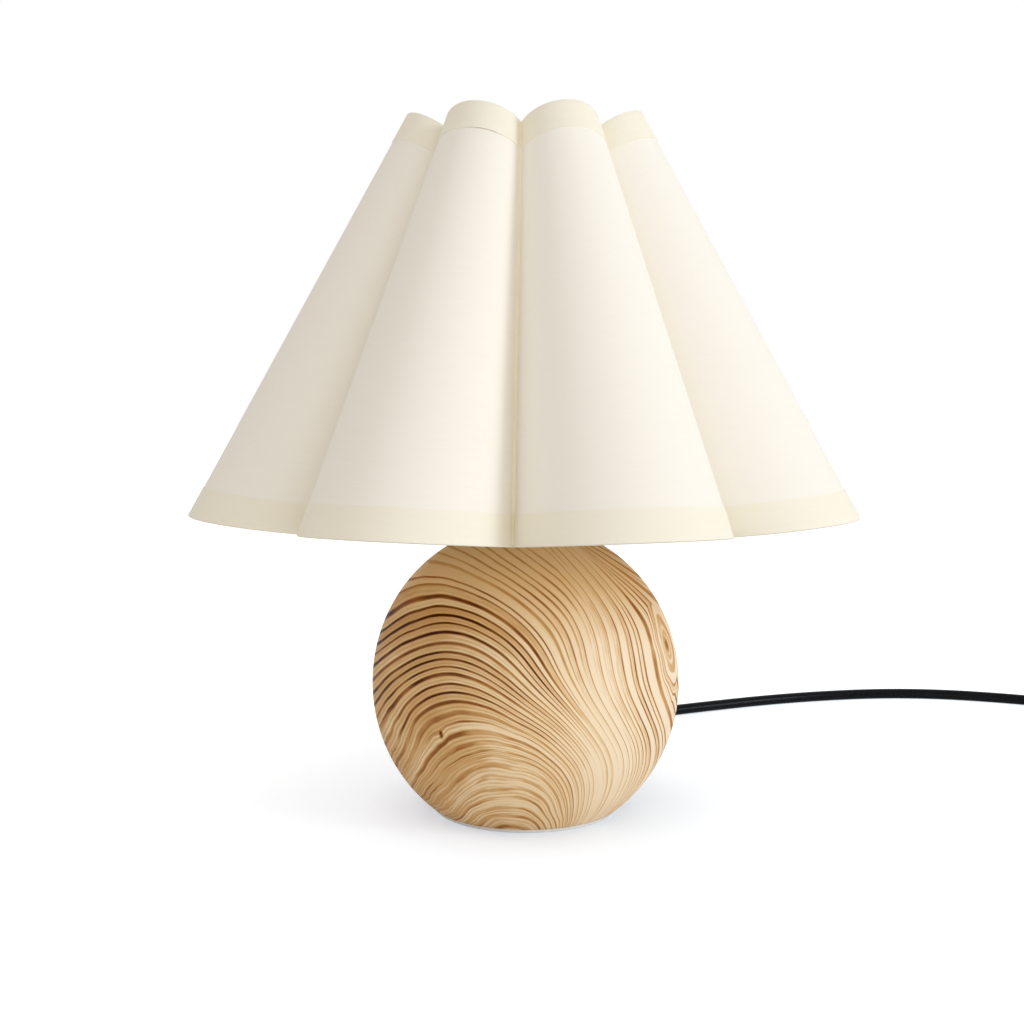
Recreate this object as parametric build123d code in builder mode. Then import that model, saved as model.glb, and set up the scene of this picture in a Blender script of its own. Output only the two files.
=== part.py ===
"""Bedside lamp: a turned wood ball on a thin foot, an E27 holder and bulb above it, an eight-lobed
shade on a wire frame, and a mains cord with an in-line switch, a put-away coil and a plug.
Millimetres, +Z up, origin on the floor under the ball, the lamp faces -Y."""
import math
import os

from build123d import *

os.makedirs("parts", exist_ok=True)

# Foot and ball
foot_radius = 35.0
foot_thickness = 1.5
foot_rim_height = 3.0
foot_rim_wall = 1.5
foot_chamfer = 0.4
ball_radius = 58.2
ball_half_height = 60.0
ball_centre_z = 48.8
seat_radius = 13.0
recess_radius = 24.0
recess_top_z = 33.0
push_gap = 0.15

# Pipe through the ball, its washers and nuts
pipe_radius = 5.0
pipe_bore_radius = 3.6
pipe_foot_z = 25.0
pipe_entry = 10.0
thread_gap = 0.05
washer_radius = 11.0
washer_thickness = 1.5
nut_across_flats = 15.0
low_nut_height = 5.0
top_nut_height = 4.0

# Cord and the way it leaves the ball
cord_diameter = 5.0
exit_z = 11.0
bush_radius = 4.4
bush_flange_radius = 6.7
bush_flange_thickness = 2.0
spot_radius = 7.0
spot_y = 38.5
bush_bore_gap = 0.2
lead_bend_radius = 13.0
wire_radius = 1.1
wire_half_spacing = 1.2

# Lampholder
cap_wall = 1.8
cap_foot_radius = 9.0
cap_height = 24.0
holder_radius = 19.3
holder_wall = 1.3
holder_height = 31.0
lip_radius = 15.0
lip_thickness = 1.2
shoulder_radius = 22.0
shoulder_rise = 4.0
shoulder_thickness = 2.5
block_radius = 17.5
block_height = 9.0
spigot_height = 2.2
screw_shell_radius = 13.55
screw_shell_wall = 0.45
screw_shell_height = 16.0
contact_width = 6.0
contact_length = 14.0
contact_thickness = 0.6
contact_rise = 2.4
terminal_offset = 9.0
terminal_head_radius = 1.9
terminal_head_height = 1.5
shade_ring_height = 9.0
shade_ring_flange_radius = 22.5
shade_ring_flange_height = 2.0
shade_ring_radius = 21.4
shade_ring_notches = 12
shade_ring_notch_radius = 0.9
running_gap = 0.06
rest_gap = 0.05

# Bulb
tip_radius = 4.5
tip_height = 1.8
glass_height = 4.5
glass_radius = 10.0
bulb_cap_radius = 13.2
bulb_cap_wall = 0.4
bulb_cap_height = 18.5
collar_radius = 14.0
housing_height = 16.0
globe_radius = 22.5
globe_seat_radius = 21.5
globe_wall = 1.2
board_radius = 16.0
board_thickness = 1.6

# Shade sheet: petals between a valley circle and a crest circle, low and high rim
lobe_count = 8
shade_turn = -93.0
valley_low = 92.2
valley_low_z = 111.3
valley_high = 37.2
valley_high_z = 251.1
crest_low = 125.0
crest_low_rise = 4.6
crest_high = 44.8
crest_high_rise = 6.9
sheet = 0.8
fold_gap = 0.12
trim_height = 9.5
trim_thickness = 0.35
trim_gap = 0.1
trim_share = 0.955

# Wire frame of the shade
ring_wire = 3.0
top_wire = 2.5
strut_wire = 2.2
ring_inset = 4.7
frame_gap = 0.4
fitter_hole_radius = 20.3
fitter_radius = 26.0
fitter_thickness = 1.4
arm_count = 4
arm_clear = 0.45

# In-line switch, lying along Y
switch_x = 292.0
switch_y_start = 104.0
switch_length = 62.0
switch_width = 26.0
switch_parting_z = 8.0
switch_height = 18.0
switch_wall = 1.8
switch_round = 4.0
switch_gap = 0.1
rocker_length = 16.6
rocker_width = 11.0
rocker_opening_gap = 0.35
rocker_pivot_z = 14.5
rocker_pin_radius = 1.5
rocker_pin_length = 1.6
rocker_top = 4.6
rocker_foot = 2.6
rocker_tilt = 8.0
cheek_thickness = 2.6
screw_radius = 1.4
screw_head_radius = 2.6
screw_head_height = 1.6
screw_offset = 21.0
boss_radius = 3.2
boss_bite = 0.8
terminal_block_length = 9.0
terminal_block_width = 4.0
terminal_block_height = 5.0

# Put-away coil, the runs before and after it, its tie and the plug
link_run = 12.0
link_fall = 18.0
tail_run = 14.0
tail_fall = 24.0
coil_outer = 31.5
coil_step = 5.5
coil_inner_turns = 4
tie_thickness = 0.5
tie_width = 10.0
tie_gap = 0.4
plug_length = 36.0
plug_width = 35.0
plug_thickness = 16.0
plug_neck = 17.0
plug_shoulder = 20.0
plug_round = 6.0
plug_edge = 2.4
relief_length = 30.0
relief_start_radius = 3.6
relief_end_radius = 5.6
relief_grooves = 6
relief_groove_width = 1.6
relief_groove_depth = 0.8
pin_length = 19.0
pin_radius = 2.0
pin_spacing = 18.6
pin_root = 6.0


def save(part, label):
    part.label = label
    export_step(part, f"parts/{label}.step")


def turned(points, label):
    """A turned piece: its half section in radius and height, spun about Z."""
    with BuildPart() as piece:
        with BuildSketch(Plane.XZ):
            with BuildLine():
                Polyline(*points, close=True)
            make_face()
        revolve(axis=Axis.Z)
    save(piece.part, label)


def bend_radii(points):
    """One radius per corner, so that each bend takes 0.45 of its shorter run."""
    radii = []
    for before, corner, after in zip(points, points[1:], points[2:]):
        one = Vector(*corner) - Vector(*before)
        two = Vector(*after) - Vector(*corner)
        half_turn = math.radians(one.get_angle(two)) / 2
        radii.append(0.45 * min(one.length, two.length) / math.tan(half_turn))
    return radii


def tube(points, radius, label):
    """A cord or wire of round section along straight runs and tangent bends."""
    radii = bend_radii(points)
    with BuildPart() as piece:
        with BuildLine() as path:
            FilletPolyline(*points, radius=radii)
        with BuildSketch(Plane(origin=path.line @ 0, z_dir=path.line % 0)):
            Circle(radius)
        sweep(path=path.line)
    length = path.wires()[0].length
    ratio = piece.part.volume / (math.pi * radius**2 * length)
    print(label, "bend radii", [round(r, 1) for r in radii], "length", round(length, 1),
          "volume ratio", round(ratio, 4))
    return piece.part


cord_radius = cord_diameter / 2

# Foot disc: closes the recess under the ball
with BuildPart() as foot_disc:
    with BuildSketch():
        Circle(foot_radius)
    extrude(amount=foot_thickness)
    chamfer(foot_disc.edges().group_by(Axis.Z)[0], foot_chamfer)
    with BuildSketch(Plane.XY.offset(foot_thickness)):
        Circle(recess_radius - push_gap)
        Circle(recess_radius - push_gap - foot_rim_wall, mode=Mode.SUBTRACT)
    extrude(amount=foot_rim_height)
save(foot_disc.part, "foot_disc")

# Ball base: an egg-round turning with a flat seat on top, a recess below and a cord hole behind
seat_z = ball_centre_z + ball_half_height * math.sqrt(1 - (seat_radius / ball_radius) ** 2)
ball_height = seat_z - foot_thickness
with BuildPart() as ball_base:
    with BuildSketch(Plane.XZ):
        with Locations((0, ball_centre_z)):
            Ellipse(ball_radius, ball_half_height)
        with Locations((0, foot_thickness)):
            Rectangle(2 * ball_radius, ball_height, align=(Align.MIN, Align.MIN), mode=Mode.INTERSECT)
    revolve(axis=Axis.Z)
    with BuildSketch(Plane.XY.offset(foot_thickness)):
        Circle(recess_radius)
    extrude(amount=recess_top_z - foot_thickness, mode=Mode.SUBTRACT)
    with BuildSketch(Plane.XY.offset(recess_top_z)):
        Circle(pipe_radius + push_gap)
    extrude(amount=ball_height, mode=Mode.SUBTRACT)
    with BuildSketch(Plane(origin=(0, 0, exit_z), z_dir=(0, 1, 0))):
        Circle(bush_radius + rest_gap)
    extrude(amount=ball_radius, mode=Mode.SUBTRACT)
    with BuildSketch(Plane(origin=(0, spot_y, exit_z), z_dir=(0, 1, 0))):
        Circle(spot_radius)
    extrude(amount=ball_radius, mode=Mode.SUBTRACT)
save(ball_base.part, "ball_base")

# Bush that lines the cord hole
with BuildPart() as cord_bush:
    with BuildSketch(Plane(origin=(0, recess_radius, exit_z), z_dir=(0, 1, 0))):
        Circle(bush_radius)
    extrude(amount=spot_y - recess_radius)
    with BuildSketch(Plane(origin=(0, spot_y + rest_gap, exit_z), z_dir=(0, 1, 0))):
        Circle(bush_flange_radius)
    extrude(amount=bush_flange_thickness)
    with BuildSketch(Plane(origin=(0, spot_y, exit_z), z_dir=(0, 1, 0))):
        Circle(bush_radius)
    extrude(amount=rest_gap)
    with BuildSketch(Plane(origin=(0, 0, exit_z), z_dir=(0, 1, 0))):
        Circle(cord_radius + bush_bore_gap)
    extrude(amount=ball_radius, mode=Mode.SUBTRACT)
save(cord_bush.part, "cord_bush")
exit_y = spot_y + rest_gap + bush_flange_thickness

# Pipe, washers and nuts that clamp the ball
top_nut_z = seat_z + washer_thickness
cap_z = top_nut_z + top_nut_height
pipe_top_z = cap_z + pipe_entry
turned([(pipe_bore_radius, pipe_foot_z), (pipe_radius, pipe_foot_z), (pipe_radius, pipe_top_z),
        (pipe_bore_radius, pipe_top_z)], "lamp_pipe")
hole = pipe_radius + thread_gap
low_washer_z = recess_top_z - washer_thickness
turned([(hole, low_washer_z), (washer_radius, low_washer_z), (washer_radius, recess_top_z),
        (hole, recess_top_z)], "low_washer")
turned([(hole, seat_z), (washer_radius, seat_z), (washer_radius, top_nut_z), (hole, top_nut_z)],
       "top_washer")
with BuildPart() as low_nut:
    with BuildSketch(Plane.XY.offset(low_washer_z - low_nut_height)):
        RegularPolygon(nut_across_flats / 2, 6, major_radius=False)
        Circle(hole, mode=Mode.SUBTRACT)
    extrude(amount=low_nut_height)
save(low_nut.part, "low_nut")
with BuildPart() as top_nut:
    with BuildSketch(Plane.XY.offset(top_nut_z)):
        RegularPolygon(nut_across_flats / 2, 6, major_radius=False)
        Circle(hole, mode=Mode.SUBTRACT)
    extrude(amount=top_nut_height)
save(top_nut.part, "top_nut")

# Holder cap: screwed on the pipe, opens upward to the holder
holder_z = cap_z + cap_height
spigot_radius = holder_radius - holder_wall - rest_gap
turned([(hole, cap_z), (cap_foot_radius, cap_z), (cap_foot_radius, cap_z + cap_wall),
        (holder_radius, holder_z - cap_height / 3), (holder_radius, holder_z), (spigot_radius, holder_z),
        (spigot_radius, holder_z + spigot_height), (spigot_radius - cap_wall, holder_z + spigot_height),
        (spigot_radius - cap_wall, holder_z - cap_height / 3), (cap_foot_radius, cap_z + 2 * cap_wall),
        (cap_foot_radius, pipe_top_z), (hole, pipe_top_z)], "holder_cap")

# Holder body: sleeve with the shoulder that carries the shade
shoulder_z = holder_z + shoulder_rise
shoulder_top_z = shoulder_z + shoulder_thickness
holder_top_z = holder_z + holder_height
sleeve_radius = holder_radius - holder_wall
turned([(sleeve_radius, holder_z), (holder_radius, holder_z), (holder_radius, shoulder_z),
        (shoulder_radius, shoulder_z), (shoulder_radius, shoulder_top_z),
        (holder_radius, shoulder_top_z), (holder_radius, holder_top_z), (lip_radius, holder_top_z),
        (lip_radius, holder_top_z - lip_thickness), (sleeve_radius, holder_top_z - lip_thickness)],
       "holder_body")

# Terminal block with its two wire holes
block_z = holder_z + spigot_height
block_top_z = block_z + block_height
with BuildPart() as terminal_block:
    with BuildSketch(Plane.XY.offset(block_z)):
        Circle(block_radius)
        with Locations((0, terminal_offset), (0, -terminal_offset)):
            Circle(wire_radius + push_gap, mode=Mode.SUBTRACT)
    extrude(amount=block_height)
save(terminal_block.part, "terminal_block")

# Terminal screws: their heads close the wire holes from above
with BuildPart() as terminal_screws:
    with BuildSketch(Plane.XY.offset(block_top_z)):
        with Locations((0, terminal_offset), (0, -terminal_offset)):
            Circle(terminal_head_radius)
            Rectangle(2 * terminal_head_radius, contact_thickness, mode=Mode.SUBTRACT)
    extrude(amount=terminal_head_height)
    with BuildSketch(Plane.XY.offset(block_top_z)):
        with Locations((0, terminal_offset), (0, -terminal_offset)):
            Circle(terminal_head_radius)
    extrude(amount=terminal_head_height / 2)
save(terminal_screws.part, "terminal_screws")

# Centre contact: a strip with a raised tongue
with BuildPart() as centre_contact:
    with BuildSketch(Plane.XZ.offset(-contact_width / 2)):
        with BuildLine():
            Polyline((-contact_length / 2, block_top_z), (contact_length / 2, block_top_z),
                     (contact_length / 2, block_top_z + contact_thickness),
                     (-contact_length / 4, block_top_z + contact_thickness),
                     (0, block_top_z + contact_rise),
                     (contact_length / 4, block_top_z + contact_rise),
                     (contact_length / 4, block_top_z + contact_rise + contact_thickness),
                     (0, block_top_z + contact_rise + contact_thickness),
                     (-contact_length / 2, block_top_z + contact_thickness), close=True)
        make_face()
    extrude(amount=contact_width)
save(centre_contact.part, "centre_contact")
contact_top_z = block_top_z + contact_rise + contact_thickness

# Screw shell of the holder
shell_z = holder_top_z - lip_thickness - rest_gap - screw_shell_height
turned([(screw_shell_radius, shell_z), (screw_shell_radius + screw_shell_wall, shell_z),
        (screw_shell_radius + screw_shell_wall, shell_z + screw_shell_height),
        (screw_shell_radius, shell_z + screw_shell_height)], "screw_shell")

# Shade ring: screwed down on the fitter
fitter_z = shoulder_top_z + rest_gap
shade_ring_z = fitter_z + fitter_thickness + rest_gap
with BuildPart() as shade_ring:
    with BuildSketch(Plane.XY.offset(shade_ring_z)):
        Circle(shade_ring_flange_radius)
    extrude(amount=shade_ring_flange_height)
    with BuildSketch(Plane.XY.offset(shade_ring_z)):
        Circle(shade_ring_radius)
    extrude(amount=shade_ring_height)
    with BuildSketch(Plane.XY.offset(shade_ring_z + shade_ring_flange_height)):
        with PolarLocations(shade_ring_radius, shade_ring_notches):
            Circle(shade_ring_notch_radius)
    extrude(amount=shade_ring_height, mode=Mode.SUBTRACT)
    with BuildSketch(Plane.XY.offset(shade_ring_z)):
        Circle(holder_radius + running_gap)
    extrude(amount=shade_ring_height, mode=Mode.SUBTRACT)
save(shade_ring.part, "shade_ring")

# Lead inside the base: through the bush, round the bend in the recess and up the pipe
lead_top_z = pipe_top_z + cord_radius
with BuildPart() as inner_lead:
    with BuildLine() as lead_path:
        FilletPolyline((0, exit_y, exit_z), (0, 0, exit_z), (0, 0, lead_top_z), radius=lead_bend_radius)
    with BuildSketch(Plane(origin=lead_path.line @ 0, z_dir=lead_path.line % 0)):
        Circle(cord_radius)
    sweep(path=lead_path.line)
save(inner_lead.part, "inner_lead")

# The lead's two wires, spread to the terminals
wire_rise = (block_z - lead_top_z) / 4
wire_parts = []
for side in (1, -1):
    wire_parts.append(tube([(0, side * wire_half_spacing, lead_top_z),
                            (0, side * wire_half_spacing, lead_top_z + wire_rise),
                            (0, side * terminal_offset, block_z - wire_rise),
                            (0, side * terminal_offset, block_z + block_height / 2)],
                           wire_radius, "inner_wires"))
with BuildPart() as inner_wires:
    add(wire_parts)
save(inner_wires.part, "inner_wires")

# Bulb: contact, glass insulator, screw cap, housing, LED board and opal globe
tip_z = contact_top_z + rest_gap
glass_z = tip_z + tip_height
bulb_cap_z = glass_z + glass_height
housing_z = bulb_cap_z + bulb_cap_height
globe_z = housing_z + housing_height
turned([(0, tip_z), (tip_radius / 2, tip_z), (tip_radius, glass_z - tip_height / 2),
        (tip_radius, glass_z), (0, glass_z)], "bulb_contact")
turned([(0, glass_z), (tip_radius, glass_z), (glass_radius, bulb_cap_z), (0, bulb_cap_z)],
       "bulb_insulator")
cap_bore = bulb_cap_radius - bulb_cap_wall
cap_taper_z = bulb_cap_z + bulb_cap_radius - glass_radius
turned([(0, bulb_cap_z), (glass_radius, bulb_cap_z), (bulb_cap_radius, cap_taper_z),
        (bulb_cap_radius, housing_z), (cap_bore, housing_z), (cap_bore, cap_taper_z),
        (glass_radius - bulb_cap_wall, bulb_cap_z + bulb_cap_wall), (0, bulb_cap_z + bulb_cap_wall)],
       "bulb_cap")
with BuildPart() as bulb_housing:
    with BuildSketch(Plane.XZ):
        with BuildLine():
            Polyline((0, globe_z), (0, cap_taper_z), (cap_bore - rest_gap, cap_taper_z),
                     (cap_bore - rest_gap, housing_z), (collar_radius, housing_z))
            TangentArc((collar_radius, housing_z), (globe_seat_radius, globe_z), tangent=(0, 1))
            Line((globe_seat_radius, globe_z), (0, globe_z))
        make_face()
    revolve(axis=Axis.Z)
save(bulb_housing.part, "bulb_housing")
turned([(0, globe_z), (board_radius, globe_z), (board_radius, globe_z + board_thickness),
        (0, globe_z + board_thickness)], "led_board")
globe_drop = math.sqrt(globe_radius**2 - globe_seat_radius**2)
globe_centre_z = globe_z + globe_drop
globe_bore = globe_radius - globe_wall
bore_seat = math.sqrt(globe_bore**2 - globe_drop**2)
with BuildPart() as bulb_globe:
    with BuildSketch(Plane.XZ):
        with BuildLine():
            ThreePointArc((globe_seat_radius, globe_z), (globe_radius, globe_centre_z),
                          (0, globe_centre_z + globe_radius))
            Line((0, globe_centre_z + globe_radius), (0, globe_centre_z + globe_bore))
            ThreePointArc((0, globe_centre_z + globe_bore), (globe_bore, globe_centre_z),
                          (bore_seat, globe_z))
            Line((bore_seat, globe_z), (globe_seat_radius, globe_z))
        make_face()
    revolve(axis=Axis.Z)
save(bulb_globe.part, "bulb_globe")

# Shade sheet: eight petals, each ruled between an arc in its low rim's plane and one in its high rim's
half_lobe = math.radians(180 / lobe_count)
valley_slope = (valley_high - valley_low) / (valley_high_z - valley_low_z)
low_rim = (crest_low, crest_low_rise, valley_low, valley_low_z)
high_rim = (crest_high, crest_high_rise, valley_high, valley_high_z)


def valley_at(z):
    return valley_low + valley_slope * (z - valley_low_z)


def rim_plane(crest, crest_rise, valley, valley_z, lift=0):
    """The tilted plane of one petal's rim: through both its valleys and its crest."""
    middle = valley * math.cos(half_lobe)
    along = Vector(crest - middle, 0, crest_rise)
    return Plane(origin=(middle, 0, valley_z + lift), x_dir=along, z_dir=Vector(-along.Z, 0, along.X))


def rim_arc(crest, crest_rise, valley, _):
    """Centre distance, radius and half sweep of a petal's arc in the plane of its rim."""
    half_chord = valley * math.sin(half_lobe)
    rise = math.hypot(crest - valley * math.cos(half_lobe), crest_rise)
    radius = (half_chord**2 + rise**2) / (2 * rise)
    centre = rise - radius
    return centre, radius, math.atan2(half_chord, -centre)


def petal_edges(crest, crest_rise, valley, valley_z):
    """The section of one petal: outer arc, two rounded half folds and inner arc."""
    centre, radius, _ = rim_arc(crest, crest_rise, valley, valley_z)
    lean = (crest - valley * math.cos(half_lobe)) / (centre + radius)
    for side in (1, -1):
        inward = Vector(-1, -side * lean * math.tan(half_lobe)).normalized()
        edge = Vector(0, side * (valley * math.sin(half_lobe) - fold_gap / 2))
        to_centre = (Vector(centre, 0) - edge).normalized()
        fold = edge + inward * sheet
        flank = edge + to_centre * sheet
        Line(edge, fold)
        ThreePointArc(fold, edge + (inward + to_centre).normalized() * sheet, flank)
    ThreePointArc(flank, (centre + radius - sheet, 0), (flank.X, -flank.Y))
    ThreePointArc(edge, (centre + radius, 0), (edge.X, -edge.Y))


with BuildPart() as petal:
    for rim in (low_rim, high_rim):
        with BuildSketch(rim_plane(*rim)):
            with BuildLine():
                petal_edges(*rim)
            make_face()
    loft(ruled=True)
first_lobe = shade_turn + 180 / lobe_count
with BuildPart() as shade_sheet:
    with PolarLocations(0, lobe_count, start_angle=first_lobe):
        add(petal.part)
save(shade_sheet.part, "shade_sheet")
print("shade_sheet solids", len(shade_sheet.part.solids()), "volume", round(shade_sheet.part.volume))


def trim(rim, lift, keep, label):
    """Hem tapes: one strip on each petal, from a rim to a plane beside it, stopping short of the folds."""
    with BuildPart() as strip:
        for end_rim in (low_rim, high_rim):
            centre, radius, sweep_angle = rim_arc(*end_rim)
            stop = trim_share * sweep_angle
            with BuildSketch(rim_plane(*end_rim)):
                with BuildLine():
                    ends = []
                    for arc_radius in (radius + trim_gap, radius + trim_gap + trim_thickness):
                        end = Vector(centre + arc_radius * math.cos(stop), arc_radius * math.sin(stop))
                        ends.append(end)
                        ThreePointArc(end, (centre + arc_radius, 0), (end.X, -end.Y))
                    Line(ends[0], ends[1])
                    Line((ends[0].X, -ends[0].Y), (ends[1].X, -ends[1].Y))
                make_face()
        loft(ruled=True)
        split(bisect_by=rim_plane(*rim, lift), keep=keep)
    with BuildPart() as tapes:
        with PolarLocations(0, lobe_count, start_angle=first_lobe):
            add(strip.part)
    save(tapes.part, label)


trim(low_rim, trim_height, Keep.BOTTOM, "bottom_trim")
trim(high_rim, -trim_height, Keep.TOP, "top_trim")

# Wire rings that hold the folds at the low and the high rim
low_ring_z = valley_low_z + ring_inset
high_ring_z = valley_high_z - ring_inset
fold_lean = math.sqrt(1 + valley_slope**2)
low_ring_radius = valley_at(low_ring_z) - (sheet + frame_gap + ring_wire / 2) * fold_lean
high_ring_radius = valley_at(high_ring_z) - (sheet + frame_gap + top_wire / 2) * fold_lean
with BuildPart() as bottom_ring:
    with Locations((0, 0, low_ring_z)):
        Torus(low_ring_radius, ring_wire / 2)
save(bottom_ring.part, "bottom_ring")
with BuildPart() as top_ring:
    with Locations((0, 0, high_ring_z)):
        Torus(high_ring_radius, top_wire / 2)
save(top_ring.part, "top_ring")

# Struts: straight wires behind the folds, from ring to ring
strut_low = low_ring_radius - (ring_wire + strut_wire) / 2 * fold_lean - rest_gap
strut_high = high_ring_radius - (top_wire + strut_wire) / 2 * fold_lean - rest_gap
with BuildPart() as struts:
    for index in range(lobe_count):
        bearing = math.radians(shade_turn + index * 360 / lobe_count)
        aim = Vector(math.cos(bearing), math.sin(bearing))
        foot_point = aim * strut_low + Vector(0, 0, low_ring_z)
        rise = aim * strut_high + Vector(0, 0, high_ring_z) - foot_point
        with BuildSketch(Plane(origin=foot_point, z_dir=rise)):
            Circle(strut_wire / 2)
        extrude(amount=rise.length)
save(struts.part, "struts")

# Fitter plate: sits on the holder's shoulder
turned([(fitter_hole_radius, fitter_z), (fitter_radius, fitter_z),
        (fitter_radius, fitter_z + fitter_thickness), (fitter_hole_radius, fitter_z + fitter_thickness)],
       "fitter_plate")

# Fitter arms: four wires from the plate's rim to the struts' feet
arm_end_radius = strut_low - (strut_wire / 2 + ring_wire / 2) * fold_lean - rest_gap
with BuildPart() as fitter_arms:
    for index in range(arm_count):
        bearing = math.radians(shade_turn + index * 360 / arm_count)
        aim = Vector(math.cos(bearing), math.sin(bearing))
        start = aim * (fitter_radius + arm_clear) + Vector(0, 0, fitter_z + fitter_thickness / 2)
        reach = aim * arm_end_radius + Vector(0, 0, low_ring_z) - start
        with BuildSketch(Plane(origin=start, z_dir=reach)):
            Circle(ring_wire / 2)
        extrude(amount=reach.length)
save(fitter_arms.part, "fitter_arms")

# Cord on the floor, from the bush to the switch
cord_z = cord_radius
cord_points = [(0, exit_y, exit_z), (0, 66, exit_z), (6, 92, cord_z), (32, 125, cord_z),
               (74, 149.5, cord_z), (140, 178.5, cord_z), (200, 188.5, cord_z), (256, 170.5, cord_z),
               (283, 149, cord_z), (switch_x, 125, switch_parting_z),
               (switch_x, switch_y_start, switch_parting_z)]
cord = tube(cord_points, cord_radius, "cord")
save(cord, "cord")

# In-line switch: lower shell, upper shell with the rocker's well, screws, terminals and rocker
switch_y = switch_y_start - switch_length / 2
switch_end_y = switch_y_start - switch_length
cord_hole = cord_radius + bush_bore_gap
floor_of_shell = switch_wall
screw_x = switch_x + switch_width / 2 - switch_wall - boss_radius + boss_bite
screw_spots = [(screw_x, switch_y + screw_offset), (screw_x, switch_y - screw_offset)]
hole_plane = Plane(origin=(switch_x, switch_y_start, switch_parting_z), z_dir=(0, -1, 0))
with BuildPart() as switch_lower:
    with BuildSketch():
        with Locations((switch_x, switch_y)):
            RectangleRounded(switch_width, switch_length, switch_round)
    extrude(amount=switch_parting_z)
    with BuildSketch(Plane.XY.offset(floor_of_shell)):
        with Locations((switch_x, switch_y)):
            RectangleRounded(switch_width - 2 * switch_wall, switch_length - 2 * switch_wall,
                             switch_round - switch_wall)
    extrude(amount=switch_parting_z, mode=Mode.SUBTRACT)
    with BuildSketch():
        with Locations(*screw_spots):
            Circle(boss_radius)
    extrude(amount=switch_parting_z)
    with BuildSketch():
        with Locations(*screw_spots):
            Circle(screw_head_radius + rest_gap)
    extrude(amount=screw_head_height, mode=Mode.SUBTRACT)
    with BuildSketch():
        with Locations(*screw_spots):
            Circle(screw_radius + rest_gap)
    extrude(amount=switch_parting_z, mode=Mode.SUBTRACT)
    with BuildSketch(hole_plane):
        Circle(cord_hole)
    extrude(amount=switch_length, mode=Mode.SUBTRACT)
save(switch_lower.part, "switch_lower")

upper_z = switch_parting_z + switch_gap
well_width = rocker_width + 2 * rocker_opening_gap
well_length = rocker_length + 2 * rocker_opening_gap
well_foot_z = rocker_pivot_z - rocker_foot
with BuildPart() as switch_upper:
    with BuildSketch(Plane.XY.offset(upper_z)):
        with Locations((switch_x, switch_y)):
            RectangleRounded(switch_width, switch_length, switch_round)
    extrude(amount=switch_height - upper_z)
    fillet(switch_upper.faces().sort_by(Axis.Z)[-1].edges(), switch_wall)
    with BuildSketch(Plane.XY.offset(upper_z)):
        with Locations((switch_x, switch_y)):
            RectangleRounded(switch_width - 2 * switch_wall, switch_length - 2 * switch_wall,
                             switch_round - switch_wall)
    extrude(amount=switch_height - switch_wall - upper_z, mode=Mode.SUBTRACT)
    with BuildSketch(Plane.XY.offset(well_foot_z)):
        with Locations((switch_x, switch_y)):
            Rectangle(well_width + 2 * cheek_thickness, well_length)
    extrude(amount=switch_height - switch_wall - well_foot_z)
    with BuildSketch(Plane.XY.offset(upper_z)):
        with Locations(*screw_spots):
            Circle(boss_radius)
    extrude(amount=switch_height - switch_wall - upper_z)
    with BuildSketch(Plane.XY.offset(upper_z)):
        with Locations(*screw_spots):
            Circle(screw_radius + rest_gap)
    extrude(amount=rocker_pivot_z - upper_z, mode=Mode.SUBTRACT)
    with BuildSketch(Plane.XY.offset(well_foot_z)):
        with Locations((switch_x, switch_y)):
            Rectangle(well_width, well_length)
    extrude(amount=switch_height, mode=Mode.SUBTRACT)
    pin_reach = well_width / 2 + rocker_pin_length
    with BuildSketch(Plane(origin=(switch_x - pin_reach, switch_y, rocker_pivot_z), z_dir=(1, 0, 0))):
        Circle(rocker_pin_radius + running_gap)
    extrude(amount=2 * pin_reach, mode=Mode.SUBTRACT)
    with BuildSketch(hole_plane):
        Circle(cord_hole)
    extrude(amount=switch_length, mode=Mode.SUBTRACT)
save(switch_upper.part, "switch_upper")

with BuildPart() as switch_screws:
    with BuildSketch():
        with Locations(*screw_spots):
            Circle(screw_head_radius)
    extrude(amount=screw_head_height - rest_gap)
    with BuildSketch():
        with Locations(*screw_spots):
            Circle(screw_radius)
    extrude(amount=rocker_pivot_z - rest_gap)
    with BuildSketch():
        with Locations(*screw_spots):
            Rectangle(2 * screw_head_radius, contact_thickness)
    extrude(amount=screw_head_height / 2, mode=Mode.SUBTRACT)
save(switch_screws.part, "switch_screws")

terminal_reach = well_length / 2 + terminal_block_length / 2
with BuildPart() as switch_terminals:
    with BuildSketch(Plane.XY.offset(floor_of_shell)):
        with Locations((switch_x, switch_y + terminal_reach), (switch_x, switch_y - terminal_reach)):
            Rectangle(terminal_block_width, terminal_block_length)
    extrude(amount=terminal_block_height)
save(switch_terminals.part, "switch_terminals")

rocker_radius = rocker_length / 2
rocker_side = math.sqrt(rocker_radius**2 - rocker_foot**2)
rocker_rise = rocker_top - rocker_radius * math.tan(math.radians(rocker_tilt))
rocker_end = math.sqrt(rocker_radius**2 - rocker_top**2)
with BuildPart() as rocker_blank:
    with BuildSketch(Plane.YZ.offset(-rocker_width / 2)):
        with BuildLine():
            Polyline((rocker_end, rocker_top), (0, rocker_rise), (-rocker_end, rocker_top))
            ThreePointArc((-rocker_end, rocker_top), (-rocker_radius, 0), (-rocker_side, -rocker_foot))
            Line((-rocker_side, -rocker_foot), (rocker_side, -rocker_foot))
            ThreePointArc((rocker_side, -rocker_foot), (rocker_radius, 0), (rocker_end, rocker_top))
        make_face()
    extrude(amount=rocker_width)
    with BuildSketch(Plane.YZ.offset(-rocker_width / 2 - rocker_pin_length)):
        Circle(rocker_pin_radius)
    extrude(amount=rocker_width + 2 * rocker_pin_length)
with BuildPart() as switch_rocker:
    with Locations(Location((switch_x, switch_y, rocker_pivot_z), (rocker_tilt, 0, 0))):
        add(rocker_blank.part)
save(switch_rocker.part, "switch_rocker")

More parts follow.
